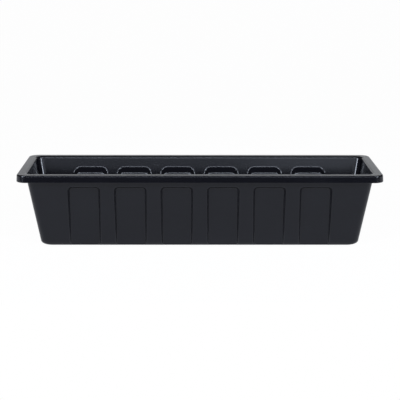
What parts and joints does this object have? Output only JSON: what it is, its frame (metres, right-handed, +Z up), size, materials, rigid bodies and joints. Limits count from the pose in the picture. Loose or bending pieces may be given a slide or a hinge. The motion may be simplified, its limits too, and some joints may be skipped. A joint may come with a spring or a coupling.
{
  "type": "window box planter",
  "caption": "Long low window box planter in moulded resin: arched panels pressed into its long walls, flanged rim with a turned-down skirt, pull-out drain plugs in a raised floor.",
  "frame": {"origin": "Bottom centre: the middle of the standing ring, on the surface that the tub stands on.", "axes": "+X along the length of the tub, +Y from its front long wall to its back long wall, +Z up."},
  "size_m": [0.61, 0.1906, 0.128],
  "materials": {
    "tub_resin": "satin black moulded polypropylene, fine grain",
    "plug_resin": "softer black moulded polyethylene, semi-matt"
  },
  "bodies": {
    "tub": {"planter_tub": "tub_resin"},
    "plug_1": {"drain_plug_1": "plug_resin"},
    "plug_2": {"drain_plug_2": "plug_resin"},
    "plug_3": {"drain_plug_3": "plug_resin"},
    "plug_4": {"drain_plug_4": "plug_resin"},
    "plug_5": {"drain_plug_5": "plug_resin"},
    "plug_6": {"drain_plug_6": "plug_resin"}
  },
  "joints": [
    {"name": "plug_1_lift", "type": "slide", "parent": "tub", "child": "plug_1", "axis": [0, 0, 1], "range_m": [0, 0.13]},
    {"name": "plug_2_lift", "type": "slide", "parent": "tub", "child": "plug_2", "axis": [0, 0, 1], "range_m": [0, 0.13]},
    {"name": "plug_3_lift", "type": "slide", "parent": "tub", "child": "plug_3", "axis": [0, 0, 1], "range_m": [0, 0.13]},
    {"name": "plug_4_lift", "type": "slide", "parent": "tub", "child": "plug_4", "axis": [0, 0, 1], "range_m": [0, 0.13]},
    {"name": "plug_5_lift", "type": "slide", "parent": "tub", "child": "plug_5", "axis": [0, 0, 1], "range_m": [0, 0.13]},
    {"name": "plug_6_lift", "type": "slide", "parent": "tub", "child": "plug_6", "axis": [0, 0, 1], "range_m": [0, 0.13]}
  ]
}
